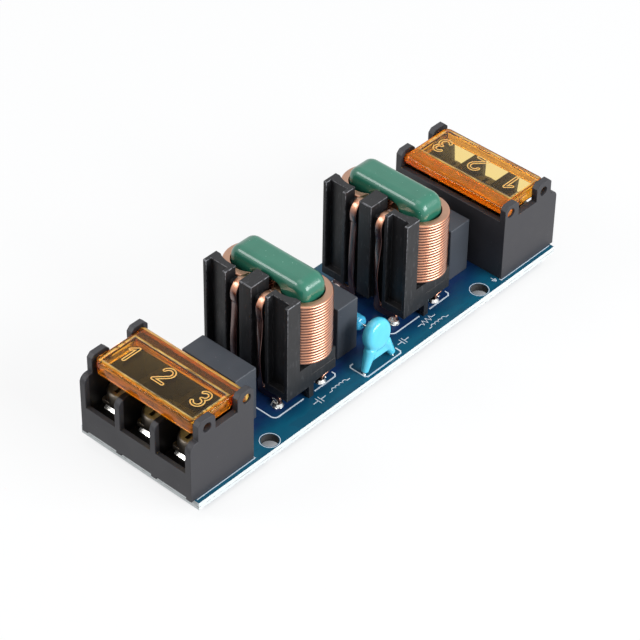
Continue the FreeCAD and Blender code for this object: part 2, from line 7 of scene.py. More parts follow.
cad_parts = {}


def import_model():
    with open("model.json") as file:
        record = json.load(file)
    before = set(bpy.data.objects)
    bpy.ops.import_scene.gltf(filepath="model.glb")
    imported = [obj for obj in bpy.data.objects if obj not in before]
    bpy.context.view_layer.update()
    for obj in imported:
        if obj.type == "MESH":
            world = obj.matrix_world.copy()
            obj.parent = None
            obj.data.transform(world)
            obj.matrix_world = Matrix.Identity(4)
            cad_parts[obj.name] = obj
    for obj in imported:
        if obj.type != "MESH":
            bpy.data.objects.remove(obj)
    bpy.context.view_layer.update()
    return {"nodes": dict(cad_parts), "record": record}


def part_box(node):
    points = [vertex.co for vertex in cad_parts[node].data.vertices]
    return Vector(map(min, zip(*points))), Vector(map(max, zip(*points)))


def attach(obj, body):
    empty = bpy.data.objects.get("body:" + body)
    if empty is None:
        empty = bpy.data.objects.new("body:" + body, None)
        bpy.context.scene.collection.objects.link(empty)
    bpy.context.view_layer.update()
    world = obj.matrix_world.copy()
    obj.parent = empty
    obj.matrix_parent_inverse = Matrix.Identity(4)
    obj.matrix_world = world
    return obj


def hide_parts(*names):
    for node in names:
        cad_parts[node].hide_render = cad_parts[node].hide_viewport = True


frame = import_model()

MM = 0.001

# Camera, measured from the middle of the board's top
camera_azimuth = -48.2
camera_elevation = 40.02
camera_roll = -0.99
camera_distance = 477.14 * MM
camera_lens = 148.137
aim_offset = Vector((0.09, 1.99, 1.66)) * MM

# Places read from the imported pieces
board_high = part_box("circuit_board")[1]
board_top = board_high.z
block_low, block_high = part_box("front_terminal_housing")
block_middle = (block_low.x + block_high.x) / 2
block_half_width = block_high.y
cover_low, cover_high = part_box("front_terminal_cover")
fin_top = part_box("front_choke_base")[1].z
fin_fronts = [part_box(end + "_choke_base")[0].x for end in ("front", "rear")]

# Terminal poles
pole_pitch = 8.5 * MM
pole_ys = [pole_pitch, 0.0, -pole_pitch]

# Flat copper wire of the chokes, with x from the core's middle and y from choke_y
choke_y = 0.25 * MM
turns = 21
open_share = 0.45
winding_start = math.radians(24)
winding_stop = math.radians(221)
winding_radius = 5.4 * MM
winding_bore = 4.0 * MM
winding_from_middle = 5.95 * MM
winding_bottom = board_top + 8.3 * MM
winding_top = board_top + 21.5 * MM
strip_width = 1.5 * MM
strip_thickness = 0.42 * MM
turn_thickness = 0.48 * MM
turn_edge = 0.06 * MM
turn_wander = 0.05 * MM
lead_crest = board_top + 21.6 * MM
jog_height = board_top + 1.35 * MM
front_lead_x = -7.42 * MM
front_lead_y = 3.05 * MM
front_pin_y = 7.0 * MM
rear_lead_x = 4.7 * MM
rear_pin_x = 2.4 * MM
rear_lead_y = 8.05 * MM


class Shader:
    """A node tree that ends in one surface shader."""

    def __init__(self, name):
        self.material = bpy.data.materials.new(name)
        self.material.use_nodes = True
        self.tree = self.material.node_tree
        self.tree.nodes.clear()
        self.output = self.tree.nodes.new("ShaderNodeOutputMaterial")
        self.place = self.add("TexCoord").outputs["Object"]

    def add(self, kind, inputs=None, **settings):
        node = self.tree.nodes.new("ShaderNode" + kind)
        for key, value in settings.items():
            setattr(node, key, value)
        for key, value in (inputs or {}).items():
            if isinstance(value, bpy.types.NodeSocket):
                self.tree.links.new(value, node.inputs[key])
            else:
                node.inputs[key].default_value = value
        return node

    def noise(self, grain, detail=2.0, place=None):
        # grain is the size of one blot in metres
        node = self.add("TexNoise", {"Vector": place or self.place, "Scale": 1.0 / grain, "Detail": detail})
        return node.outputs["Fac"]

    def stretched(self, x, y, z):
        node = self.add("Mapping", {"Vector": self.place, "Scale": (x, y, z)})
        return node.outputs["Vector"]

    def span(self, value, low, high, to_low=0.0, to_high=1.0):
        node = self.add("MapRange", {"Value": value, "From Min": low, "From Max": high,
                                     "To Min": to_low, "To Max": to_high})
        return node.outputs["Result"]

    def math(self, operation, a, b=0.0):
        return self.add("Math", {0: a, 1: b}, operation=operation).outputs[0]

    def mix(self, share, a, b):
        node = self.add("Mix", {"Factor": share}, data_type="RGBA")
        for key, value in ((6, a), (7, b)):
            if isinstance(value, bpy.types.NodeSocket):
                self.tree.links.new(value, node.inputs[key])
            else:
                node.inputs[key].default_value = (*value, 1.0)
        return node.outputs[2]

    def axis(self, name):
        return self.add("SeparateXYZ", {"Vector": self.place}).outputs[name]

    def facing(self, name):
        normal = self.add("NewGeometry").outputs["Normal"]
        return self.add("SeparateXYZ", {"Vector": normal}).outputs[name]

    def within(self, name, middle, half, soft=0.1 * MM):
        # 1 within half of the middle along one axis
        away = self.math("ABSOLUTE", self.math("SUBTRACT", self.axis(name), middle))
        return self.span(away, half + soft, half - soft)

    def rounded(self, radius):
        return self.add("Bevel", {"Radius": radius}, samples=6).outputs["Normal"]

    def edges(self, radius):
        # 0 on flat faces, towards 1 at edges
        flat = self.add("NewGeometry").outputs["Normal"]
        dot = self.add("VectorMath", {0: self.rounded(radius), 1: flat}, operation="DOT_PRODUCT")
        return self.span(dot.outputs["Value"], 1.0, 0.75)

    def specks(self, grain, share):
        # small bright points, the larger the share the more of them
        cells = self.add("TexVoronoi", {"Vector": self.place, "Scale": 1.0 / grain}).outputs["Distance"]
        patch = self.span(self.noise(grain * 4, 1.0), 0.62, 0.55 - share)
        return self.math("MULTIPLY", self.span(cells, 0.12, 0.05), self.math("SUBTRACT", 1.0, patch))

    def bump(self, height, strength, distance):
        node = self.add("Bump", {"Height": height, "Strength": strength, "Distance": distance})
        return node.outputs["Normal"]

    def surface(self, **inputs):
        named = {key.replace("_", " "): value for key, value in inputs.items()}
        shader = self.add("BsdfPrincipled", named)
        self.tree.links.new(shader.outputs[0], self.output.inputs["Surface"])
        return self.material


def rgb(red, green, blue):
    return (red, green, blue, 1.0)


def housing_plastic():
    s = Shader("housing_plastic")
    cloud = s.noise(5 * MM, 3.0)
    fine = s.noise(0.14 * MM, 3.0)
    body = s.mix(cloud, (0.030, 0.029, 0.033), (0.046, 0.045, 0.051))
    # painted highlight: the edges are painted pale grey, broken up by noise
    edge_highlight = s.math("MULTIPLY", s.edges(0.1 * MM), s.span(s.noise(0.7 * MM), 0.38, 0.72, 0.15, 0.9))
    colour = s.mix(edge_highlight, body, (0.12, 0.12, 0.13))
    colour = s.mix(s.math("MULTIPLY", s.specks(1.1 * MM, 0.1), 0.5), colour, (0.14, 0.14, 0.15))
    # painted shade: the chambers of both blocks are painted near black inside and made less shiny
    half_chamber = 6.6 * MM
    along = s.math("MAXIMUM", s.within("X", block_middle, half_chamber),
                   s.within("X", -block_middle, half_chamber))
    inside = s.math("MULTIPLY", s.within("Y", 0.0, block_half_width - 1.25 * MM), along)
    colour = s.mix(inside, colour, (0.006, 0.005, 0.005))
    normal = s.bump(fine, 0.3, 0.012 * MM)
    return s.surface(Base_Color=colour, Roughness=s.span(cloud, 0.3, 0.7, 0.42, 0.56), Normal=normal,
                     Specular_IOR_Level=s.span(inside, 0.0, 1.0, 0.4, 0.1))


def choke_plastic():
    s = Shader("choke_plastic")
    cloud = s.noise(3 * MM, 3.0)
    streak = s.noise(0.4 * MM, 2.0, s.stretched(1.0, 1.0, 0.12))
    body = s.mix(streak, (0.011, 0.011, 0.012), (0.023, 0.023, 0.025))
    # painted highlight along the fins' top rims and down their front rims, fading lower down and broken up by
    # noise
    top_rim = s.math("MULTIPLY", s.span(s.axis("Z"), fin_top - 0.28 * MM, fin_top - 0.18 * MM),
                     s.span(s.math("ABSOLUTE", s.facing("Z")), 0.6, 0.4))
    from_fronts = [s.math("ABSOLUTE", s.math("SUBTRACT", s.axis("X"), x)) for x in fin_fronts]
    ahead = s.math("MINIMUM", from_fronts[0], from_fronts[1])
    front_rim = s.math("MULTIPLY", s.span(ahead, 0.24 * MM, 0.14 * MM),
                       s.span(s.math("ABSOLUTE", s.facing("X")), 0.6, 0.4))
    high = s.span(s.axis("Z"), fin_top - 9 * MM, fin_top, 0.15, 0.8)
    rims = s.math("MAXIMUM", top_rim, s.math("MULTIPLY", front_rim, high))
    edge_highlight = s.math("MULTIPLY", rims, s.span(s.noise(0.6 * MM, 3.0), 0.35, 0.6))
    colour = s.mix(edge_highlight, body, (0.30, 0.30, 0.32))
    scuffs = s.span(s.noise(0.5 * MM, 3.0, s.stretched(1.0, 1.0, 0.25)), 0.60, 0.72)
    marks = s.math("MAXIMUM", s.specks(0.9 * MM, 0.1), s.math("MULTIPLY", scuffs, 0.35))
    colour = s.mix(s.math("MULTIPLY", marks, 0.6), colour, (0.15, 0.15, 0.16))
    normal = s.bump(s.noise(0.3 * MM, 3.0), 0.3, 0.02 * MM)
    return s.surface(Base_Color=colour, Roughness=s.span(cloud, 0.3, 0.7, 0.3, 0.46), Normal=normal,
                     Specular_IOR_Level=0.3)


def core_coating():
    s = Shader("core_coating")
    cloud = s.noise(4 * MM)
    body = s.mix(cloud, (0.020, 0.155, 0.098), (0.030, 0.205, 0.132))
    # painted highlight: pale green lines along the edges, broken up by noise
    coat_edge_highlight = s.math("MULTIPLY", s.edges(0.25 * MM), s.span(s.noise(1.1 * MM, 2.0), 0.42, 0.62))
    marks = s.math("MAXIMUM", s.specks(0.8 * MM, 0.12), s.math("MULTIPLY", coat_edge_highlight, 0.6))
    colour = s.mix(marks, body, (0.35, 0.60, 0.50))
    normal = s.bump(s.noise(1.8 * MM, 2.0), 0.35, 0.07 * MM)
    return s.surface(Base_Color=colour, Roughness=0.3, Coat_Weight=0.5, Coat_Roughness=0.08,
                     Specular_IOR_Level=0.4, Normal=normal)


def copper_strip():
    s = Shader("copper_strip")
    # Painted light by facing: a painted highlight on the drawn round of each turn, painted shade on upright
    # faces and down in the gaps, and brown on level tops.
    cloud = s.noise(1.8 * MM)
    up = s.facing("Z")
    deep = s.mix(cloud, (0.085, 0.018, 0.010), (0.13, 0.032, 0.018))
    highlight_copper = s.mix(cloud, (0.44, 0.17, 0.085), (0.54, 0.235, 0.125))
    level = s.mix(cloud, (0.36, 0.17, 0.09), (0.44, 0.22, 0.12))
    colour = s.mix(s.span(up, 0.12, 0.5), deep, highlight_copper)
    colour = s.mix(s.span(up, 0.88, 0.98), colour, level)
    normal = s.bump(s.noise(1.2 * MM, 1.0), 0.05, 0.02 * MM)
    return s.surface(Base_Color=colour, Metallic=1.0, Roughness=s.span(cloud, 0.3, 0.7, 0.34, 0.42),
                     Coat_Weight=1.0, Coat_Roughness=0.2, Coat_IOR=1.75, Normal=normal)


def cover_plastic():
    s = Shader("cover_plastic")
    # Clear over the pockets; the walls carry a painted glow, less clear and orange, strongest in the rear
    # cover's bar, with painted highlights along the pocket's rim and the front cover's crest.
    smudge = s.noise(2.5 * MM, 3.0)
    across = s.math("ABSOLUTE", s.axis("Y"))
    from_middle = s.math("ABSOLUTE", s.math("SUBTRACT", s.math("ABSOLUTE", s.axis("X")), abs(pocket_middle)))
    past_rim = s.math("MAXIMUM", s.math("SUBTRACT", from_middle, pocket_half),
                      s.math("SUBTRACT", across, cover_high.y - hinge_pin - cover_wall))
    in_walls = s.span(past_rim, -0.05 * MM, 0.1 * MM)
    # painted highlight along the pocket's rim
    rim_highlight = s.span(s.math("ABSOLUTE", s.math("SUBTRACT", past_rim, 0.16 * MM)), 0.32 * MM, 0.12 * MM)
    streaks = s.noise(0.7 * MM, 2.0, s.stretched(1.0, 0.18, 1.0))
    rim_highlight = s.math("MULTIPLY", rim_highlight, s.span(streaks, 0.36, 0.62, 0.35, 1.0))
    from_centre = s.math("ABSOLUTE", s.axis("X"))
    in_bar = s.span(from_centre, bar_front + 0.15 * MM, bar_front - 0.15 * MM)
    rear_bar = s.math("MULTIPLY", in_bar, s.span(s.axis("X"), -1 * MM, 1 * MM))
    # painted highlight along the crest of the front cover's barrel
    crest_highlight = s.span(s.math("ABSOLUTE", s.math("SUBTRACT", from_centre, bar_crest)), 0.5 * MM, 0.3 * MM)
    crest_highlight = s.math("MULTIPLY", crest_highlight, s.span(s.axis("X"), 1 * MM, -1 * MM))
    # painted glow: the walls and the rear cover's bar are made less clear and orange
    painted_glow = s.math("ADD", s.math("MULTIPLY", in_walls, 0.045), s.math("MULTIPLY", rear_bar, 0.25))
    painted_glow = s.math("MULTIPLY", painted_glow, s.span(streaks, 0.3, 0.7, 0.75, 1.25))
    painted_glow = s.math("MAXIMUM", painted_glow, s.math("MULTIPLY", rim_highlight, 0.7))
    painted_glow = s.math("MAXIMUM", painted_glow, s.math("MULTIPLY", crest_highlight, s.span(streaks, 0.3, 0.65, 0.3, 0.6)))
    tint = s.mix(rear_bar, (1.0, 0.48, 0.06), (1.0, 0.36, 0.02))
    tint = s.mix(s.math("MAXIMUM", rim_highlight, crest_highlight), tint, (1.0, 0.66, 0.16))
    colour = s.mix(s.math("MAXIMUM", in_walls, rim_highlight), (1.0, 0.90, 0.66), tint)
    material = s.surface(Base_Color=colour, Transmission_Weight=s.math("SUBTRACT", 1.0, painted_glow), IOR=1.55,
                         Roughness=s.span(smudge, 0.35, 0.7, 0.015, 0.06), Specular_Tint=rgb(0.35, 0.28, 0.2),
                         Normal=s.bump(s.noise(3 * MM, 1.0), 0.05, 0.05 * MM))
    absorb = s.add("VolumeAbsorption", {"Color": rgb(0.985, 0.83, 0.20), "Density": 900.0})
    s.tree.links.new(absorb.outputs[0], s.output.inputs["Volume"])
    return material


def cover_digit_glint():
    s = Shader("cover_digit_glint")
    # painted glint: the moulded digits are given an opaque pale orange for the light they catch
    colour = s.mix(s.noise(0.4 * MM), (0.75, 0.36, 0.06), (0.95, 0.58, 0.16))
    return s.surface(Base_Color=colour, Roughness=0.22, Subsurface_Weight=0.2, Subsurface_Scale=0.3 * MM)


def plated_metal(name, light, dark, roughness):
    s = Shader(name)
    cloud = s.noise(0.9 * MM, 4.0)
    colour = s.mix(cloud, dark, light)
    normal = s.bump(s.noise(0.3 * MM, 3.0), 0.2, 0.012 * MM)
    return s.surface(Base_Color=colour, Metallic=1.0,
                     Roughness=s.span(cloud, 0.3, 0.7, roughness, roughness + 0.12), Normal=normal)


def film_case_plastic():
    s = Shader("film_case_plastic")
    cloud = s.noise(5 * MM, 3.0)
    body = s.mix(cloud, (0.050, 0.056, 0.067), (0.070, 0.078, 0.092))
    # painted highlight: the edges are painted pale, broken up by noise
    edge_highlight = s.math("MULTIPLY", s.edges(0.12 * MM), s.span(s.noise(0.8 * MM), 0.4, 0.6))
    spots = s.math("MULTIPLY", s.specks(0.9 * MM, 0.1), 0.8)
    colour = s.mix(s.math("MAXIMUM", spots, edge_highlight), body, (0.22, 0.24, 0.27))
    normal = s.bump(s.noise(0.14 * MM, 3.0), 0.2, 0.01 * MM)
    return s.surface(Base_Color=colour, Roughness=s.span(cloud, 0.3, 0.7, 0.34, 0.44), Normal=normal,
                     Specular_IOR_Level=0.28)


def plain_plastic(name, low, high, grain, roughness, coat=0.0):
    s = Shader(name)
    colour = s.mix(s.noise(grain), low, high)
    normal = s.bump(s.noise(grain / 2, 2.0), 0.15, 0.03 * MM)
    return s.surface(Base_Color=colour, Roughness=roughness, Coat_Weight=coat, Coat_Roughness=0.08,
                     Normal=normal)


def board_laminate():
    # Solder mask on top and below, painted teal near the long edges as a reflection; bare laminate with a
    # dark line partway down its edges.
    s = Shader("board_laminate")
    from_edge = s.math("SUBTRACT", board_high.y, s.math("ABSOLUTE", s.axis("Y")))
    cloud = s.noise(9 * MM, 2.0)
    wander = s.math("ADD", from_edge, s.span(cloud, 0.3, 0.7, -1.2 * MM, 1.2 * MM))
    # painted reflection: the mask turns teal within a few millimetres of the long edges
    reflection_band = s.span(wander, 6.5 * MM, 2.2 * MM)
    deep = s.mix(cloud, (0.004, 0.022, 0.090), (0.007, 0.034, 0.130))
    reflected_teal = s.mix(cloud, (0.004, 0.095, 0.170), (0.006, 0.130, 0.215))
    mask = s.mix(reflection_band, deep, reflected_teal)
    tracks = s.span(s.noise(1.4 * MM, 1.0, s.stretched(0.35, 1.0, 1.0)), 0.49, 0.51)
    mask = s.mix(s.math("MULTIPLY", tracks, 0.25), mask, (0.008, 0.060, 0.120))
    fibre = s.noise(0.3 * MM, 2.0, s.stretched(0.15, 0.15, 3.0))
    laminate = s.mix(fibre, (0.70, 0.74, 0.74), (0.86, 0.89, 0.89))
    # a dark line partway down the board's edges
    height = s.math("ABSOLUTE", s.math("SUBTRACT", s.axis("Z"), board_top - 0.95 * MM))
    dark_edge_line = s.math("MULTIPLY", s.span(height, 0.09 * MM, 0.03 * MM),
                   s.span(s.noise(1.2 * MM, 2.0, s.stretched(1.0, 1.0, 0.2)), 0.38, 0.6))
    laminate = s.mix(dark_edge_line, laminate, (0.30, 0.29, 0.27))
    on_side = s.span(s.math("ABSOLUTE", s.facing("Z")), 0.9, 0.5)
    colour = s.mix(on_side, mask, laminate)
    # upright faces away from the rim are the walls of holes, painted dark for the shade in them
    off_ends = s.within("X", 0.0, board_high.x - 1 * MM)
    off_sides = s.within("Y", 0.0, board_high.y - 0.25 * MM)
    hole_wall_shade = s.math("MULTIPLY", s.math("MULTIPLY", off_ends, off_sides), on_side)
    colour = s.mix(hole_wall_shade, colour, (0.035, 0.035, 0.035))
    relief = s.math("ADD", tracks, s.math("MULTIPLY", s.noise(0.5 * MM, 2.0), 0.6))
    return s.surface(Base_Color=colour, Roughness=s.span(on_side, 0.0, 1.0, 0.3, 0.6), Coat_Weight=0.1,
                     Coat_Roughness=0.12, Specular_IOR_Level=0.3, Normal=s.bump(relief, 0.1, 0.02 * MM))


def print_ink():
    s = Shader("print_ink")
    colour = s.mix(s.noise(0.2 * MM), (0.70, 0.80, 0.90), (0.84, 0.90, 0.96))
    return s.surface(Base_Color=colour, Roughness=0.6, Normal=s.bump(s.noise(0.1 * MM), 0.2, 0.01 * MM))


# Flip covers
cover_wall = 0.9 * MM
cover_plate = 1.0 * MM
cover_barrel = 1.1 * MM
cover_side_drop = 2.6 * MM
cover_front_drop = 2.8 * MM
cover_corner = 1.2 * MM
hinge_bar = 3.5 * MM
hinge_pin = 1.1 * MM
hinge_pin_radius = 0.88 * MM
digit_foot = 3.45 * MM
cover_edge = 0.3 * MM
pocket_edge = 0.3 * MM
pocket_foot_edge = 0.12 * MM
bar_foot_edge = 0.1 * MM
front_foot_edge = 0.15 * MM
front_top_edge = 0.4 * MM
bar_front = abs(cover_high.x) + hinge_bar
bar_crest = abs(cover_high.x) + 0.7 * MM
pocket_half = (abs(cover_low.x) - cover_wall - bar_front) / 2
pocket_middle = bar_front + pocket_half

materials = {
    "board_laminate": board_laminate(),
    "solder": plated_metal("solder", (0.86, 0.86, 0.84), (0.62, 0.62, 0.60), 0.14),
    "housing_plastic": housing_plastic(),
    "cover_plastic": cover_plastic(),
    "plated_contact": plated_metal("plated_contact", (0.92, 0.90, 0.86), (0.76, 0.74, 0.69), 0.18),
    # painted shade: the plated steel gets a dark brown for the shade it sits in under the covers
    "plated_steel": plated_metal("plated_steel", (0.15, 0.13, 0.105), (0.07, 0.06, 0.05), 0.34),
    "choke_plastic": choke_plastic(),
    "core_coating": core_coating(),
    "copper_strip": copper_strip(),
    "film_case_plastic": film_case_plastic(),
    "metallised_film": plated_metal("metallised_film", (0.80, 0.80, 0.80), (0.60, 0.60, 0.60), 0.3),
    "potting_resin": plain_plastic("potting_resin", (0.10, 0.10, 0.09), (0.16, 0.15, 0.13), 1 * MM, 0.4),
    "tinned_wire": plated_metal("tinned_wire", (0.86, 0.86, 0.84), (0.66, 0.66, 0.64), 0.2),
    "disc_coating": plain_plastic("disc_coating", (0.08, 0.60, 0.84), (0.12, 0.70, 0.90),
                                  1.6 * MM, 0.25, 0.4),
    "resistor_coating": plain_plastic("resistor_coating", (0.04, 0.36, 0.60), (0.06, 0.44, 0.68),
                                      1 * MM, 0.22, 0.5),
}
ink = print_ink()
digit_glint_material = cover_digit_glint()


def finish_mesh(name, bm, material, body, smooth=30.0):
    """Makes a piece that rides on a body; smooth is the sharpest edge in degrees that still shades soft."""
    mesh = bpy.data.meshes.new(name)
    bmesh.ops.recalc_face_normals(bm, faces=bm.faces)
    bm.to_mesh(mesh)
    bm.free()
    mesh.materials.append(material)
    for face in mesh.polygons:
        face.use_smooth = True
    mesh.set_sharp_from_angle(angle=math.radians(smooth))
    piece = bpy.data.objects.new(name, mesh)
    bpy.context.scene.collection.objects.link(piece)
    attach(piece, body)
    return piece


def skin(bm, rings):
    """Joins rings of points, each with as many points as the next, and closes both ends."""
    made = [[bm.verts.new(point) for point in ring] for ring in rings]
    count = len(made[0])
    for first, second in zip(made, made[1:]):
        for i in range(count):
            j = (i + 1) % count
            bm.faces.new((first[i], first[j], second[j], second[i]))
    bm.faces.new(list(reversed(made[0])))
    bm.faces.new(made[-1])


def sweep(bm, centres, sides, ups, section):
    """Carries a section along centres; its points are (along side, along up)."""
    skin(bm, [[centre + side * a + up * b for a, b in section]
              for centre, side, up in zip(centres, sides, ups)])


def round_section(width, height, corner, steps=3):
    """A rectangle with round corners, as points round its middle."""
    points = []
    for sx, sy, start in ((1, 1, 0), (-1, 1, 90), (-1, -1, 180), (1, -1, 270)):
        cx = sx * (width / 2 - corner)
        cy = sy * (height / 2 - corner)
        for i in range(steps + 1):
            a = math.radians(start + 90 * i / steps)
            points.append((cx + corner * math.cos(a), cy + corner * math.sin(a)))
    return points


def turn_section():
    """One turn of the wire on edge: flat below, its outer face drawn round to the top."""
    half = (winding_radius - winding_bore) / 2
    low = -turn_thickness / 2
    reach = turn_thickness * 0.75
    points = [(-half, low), (half - turn_edge, low), (half, low + turn_edge)]
    for i in range(1, 8):
        a = math.radians(90 * i / 7)
        points.append((half - reach + reach * math.cos(a),
                       low + turn_edge + (turn_thickness - turn_edge) * math.sin(a)))
    return points + [(-half, -low)]


def smooth_path(points, steps):
    """A soft line through the middle of each run, tangent to all runs."""
    middles = [points[0]] + [(a + b) / 2 for a, b in zip(points[1:-1], points[2:-1])] + [points[-1]]
    line = [points[0]]
    for start, corner, stop in zip(middles, points[1:-1], middles[1:]):
        for i in range(1, steps + 1):
            t = i / steps
            line.append(start * (1 - t) ** 2 + corner * 2 * t * (1 - t) + stop * t ** 2)
    return line


def ribbon(bm, points, turned, width, thickness, steps=10):
    """A flat strip along points; turned holds the turn of its width about +Z at each point, in degrees."""
    line = smooth_path(points, steps)
    angles = [p.x for p in smooth_path([Vector((t, 0, 0)) for t in turned], steps)]
    sides, ups = [], []
    for i, angle in enumerate(angles):
        across = Vector((-math.sin(math.radians(angle)), math.cos(math.radians(angle)), 0))
        ahead = (line[min(i + 1, len(line) - 1)] - line[max(i - 1, 0)]).normalized()
        up = ahead.cross(across).normalized()
        ups.append(up)
        sides.append(up.cross(ahead).normalized())
    sweep(bm, line, sides, ups, round_section(width, thickness, thickness * 0.45))


def soften(node, width, segments=2, limit=30.0):
    """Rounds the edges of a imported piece."""
    piece = frame["nodes"][node]
    weld = piece.modifiers.new("weld", "WELD")
    weld.merge_threshold = 0.001 * MM
    flat = piece.modifiers.new("flat", "DECIMATE")
    flat.decimate_type = "DISSOLVE"
    flat.angle_limit = math.radians(0.5)
    bevel = piece.modifiers.new("bevel", "BEVEL")
    bevel.width = width
    bevel.segments = segments
    bevel.limit_method = "ANGLE"
    bevel.angle_limit = math.radians(limit)
    bevel.harden_normals = True


def melt(node, grain, rounds):
    """Blends the forms of a dipped piece into one skin."""
    piece = frame["nodes"][node]
    remesh = piece.modifiers.new("skin", "REMESH")
    remesh.mode = "VOXEL"
    remesh.voxel_size = grain
    remesh.use_smooth_shade = True
    smooth = piece.modifiers.new("blend", "SMOOTH")
    smooth.factor = 0.5
    smooth.iterations = rounds


def paint(node, material):
    piece = frame["nodes"][node]
    piece.data.materials.clear()
    piece.data.materials.append(material)


for part in frame["record"]["subparts"]:
    paint(part["node"], materials[part["material_slot"]])


def rounded_ring(corners, steps=4):
    """Corners are (along, height, radius) with runs along the two axes; gives the rounded outline."""
    points = []
    count = len(corners)
    for i, (a, z, radius) in enumerate(corners):
        before = Vector(corners[i - 1][:2]) - Vector((a, z))
        after = Vector(corners[(i + 1) % count][:2]) - Vector((a, z))
        reach = min(radius, before.length * 0.49, after.length * 0.49)
        back = before.normalized() * reach
        ahead = after.normalized() * reach
        centre = Vector((a, z)) + back + ahead
        for k in range(steps + 1):
            t = math.radians(90 * k / steps)
            points.append(centre - ahead * math.cos(t) - back * math.sin(t))
    return points


def cover_stations(length, half, top, ceiling):
    """Rings of (along, height) with the place across at which each one stands, from side to middle."""
    def ring(front, inset, floor, pocket_inset, pocket_top):
        low = top - cover_front_drop
        bar = length - hinge_bar
        return rounded_ring([
            (front + inset, low + inset, front_foot_edge), (front + inset, top - inset, front_top_edge),
            (length - inset, top - inset, cover_barrel - inset),
            (length - inset, top - 2 * cover_barrel + inset, cover_barrel - inset),
            (bar - pocket_inset, top - 2 * cover_barrel + inset, bar_foot_edge),
            (bar - pocket_inset, pocket_top, pocket_edge),
            (cover_wall + pocket_inset, pocket_top, pocket_edge),
            (cover_wall + pocket_inset, floor, pocket_foot_edge)])

    side_low = top - cover_side_drop
    stations = []
    distances = [cover_edge * (1 - math.cos(math.radians(22.5 * k))) for k in range(5)]
    distances += [0.45 * MM, 0.6 * MM, 0.75 * MM, cover_wall - 0.001 * MM]
    for distance in distances:
        along = min(distance / cover_edge, 1.0)
        inset = cover_edge * (1 - math.sqrt(max(0.0, 1 - (1 - along) ** 2)))
        away = max(0.0, cover_corner - distance)
        front = cover_corner - math.sqrt(cover_corner ** 2 - away ** 2)
        stations.append((half - distance, ring(front, inset, side_low, 0.0, side_low + inset)))
    for k in range(5):
        t = math.radians(22.5 * k)
        narrow = pocket_edge * (1 - math.sin(t))
        distance = cover_wall + pocket_edge * (1 - math.cos(t))
        away = max(0.0, cover_corner - distance)
        front = cover_corner - math.sqrt(cover_corner ** 2 - away ** 2)
        stations.append((half - distance,
                         ring(front, 0.0, top - cover_front_drop, narrow, ceiling - narrow)))
    return stations


def stroke_lines(number):
    """Centre lines of one digit, across to its right and up from its foot, in parts of its height."""
    def arc(x, y, radius, start, stop):
        angles = [math.radians(start + (stop - start) * i / 16) for i in range(17)]
        return [(x + radius * math.cos(a), y + radius * math.sin(a)) for a in angles]
    if number == 1:
        return [[(-0.16, 0.74), (0.12, 1.0), (0.12, 0.0)]]
    if number == 2:
        return [arc(0.0, 0.72, 0.28, 170, -35) + [(-0.3, 0.0), (0.3, 0.0)]]
    return [arc(0.0, 0.765, 0.235, 150, -90), arc(0.0, 0.265, 0.265, 90, -150)]


def distance_to(lines, x, y):
    nearest = 1.0
    for line in lines:
        for (x0, y0), (x1, y1) in zip(line, line[1:]):
            dx, dy = x1 - x0, y1 - y0
            t = ((x - x0) * dx + (y - y0) * dy) / (dx * dx + dy * dy)
            t = min(1.0, max(0.0, t))
            nearest = min(nearest, math.hypot(x - x0 - t * dx, y - y0 - t * dy))
    return nearest


def digit_ridge(bm, number, place):
    """A low ridge round a digit's outline; place turns a spot on the cover and its rise into a point."""
    # sizes in millimetres
    height = 3.7
    cell = 0.05
    half_stroke = 0.27
    ridge_half_width = 0.1
    ridge_height = 0.05
    margin = 0.16
    lift = 0.001
    lines = [[(x * height, y * height) for x, y in line] for line in stroke_lines(number)]
    columns = range(int(-2.0 / cell), int(2.0 / cell))
    rows = range(int(-0.6 / cell), int(4.3 / cell))
    found = {}
    for i in columns:
        for j in rows:
            away = abs(distance_to(lines, i * cell, j * cell) - half_stroke)
            if away < margin:
                rise = ridge_height * max(0.0, 1 - (away / ridge_half_width) ** 2)
                found[i, j] = bm.verts.new(place(i * cell * MM, j * cell * MM, (rise + lift) * MM))
    for i, j in found:
        corners = [found.get(key) for key in ((i, j), (i + 1, j), (i + 1, j + 1), (i, j + 1))]
        if None not in corners:
            bm.faces.new(corners)
    loose = [v for v in bm.verts if not v.link_faces]
    bmesh.ops.delete(bm, geom=loose, context="VERTS")


def flip_cover(end):
    node = end + "_terminal_cover"
    low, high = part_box(node)
    outward = -1 if end == "front" else 1
    front_x = low.x if outward < 0 else high.x
    length = high.x - low.x
    half = high.y - hinge_pin
    top = high.z

    def place(along, across, height):
        return Vector((front_x - outward * along, -outward * across, height))

    bm = bmesh.new()
    side = cover_stations(length, half, top, top - cover_plate)
    mirrored = [(-across, ring) for across, ring in reversed(side)]
    skin(bm, [[place(a, across, z) for a, z in ring] for across, ring in side + mirrored])
    hinge = top - cover_barrel
    centre = length - cover_barrel
    # the hinge pins start inside the wall and have round ends, as shares of their radius
    for sign in (-1, 1):
        rings = []
        for across, radius in ((half - 0.05 * MM, 1.0), (half + hinge_pin - 0.15 * MM, 1.0),
                               (half + hinge_pin - 0.04 * MM, 0.93), (half + hinge_pin, 0.8)):
            reach = hinge_pin_radius * radius
            angles = [math.radians(15 * k) for k in range(24)]
            rings.append([place(centre + reach * math.cos(a), sign * across, hinge + reach * math.sin(a))
                          for a in angles])
        skin(bm, rings)
    piece = finish_mesh(node + "_moulding", bm, materials["cover_plastic"], end + "_cover",
                        smooth=35)
    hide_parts(node)
    bm = bmesh.new()
    for number, y in enumerate(pole_ys, 1):
        digit_ridge(bm, number, lambda x, up, rise, y=y: place(digit_foot + up, y - x, top + rise))
    finish_mesh(node + "_digits", bm, digit_glint_material, end + "_cover", smooth=80)


flip_cover("front")
flip_cover("rear")


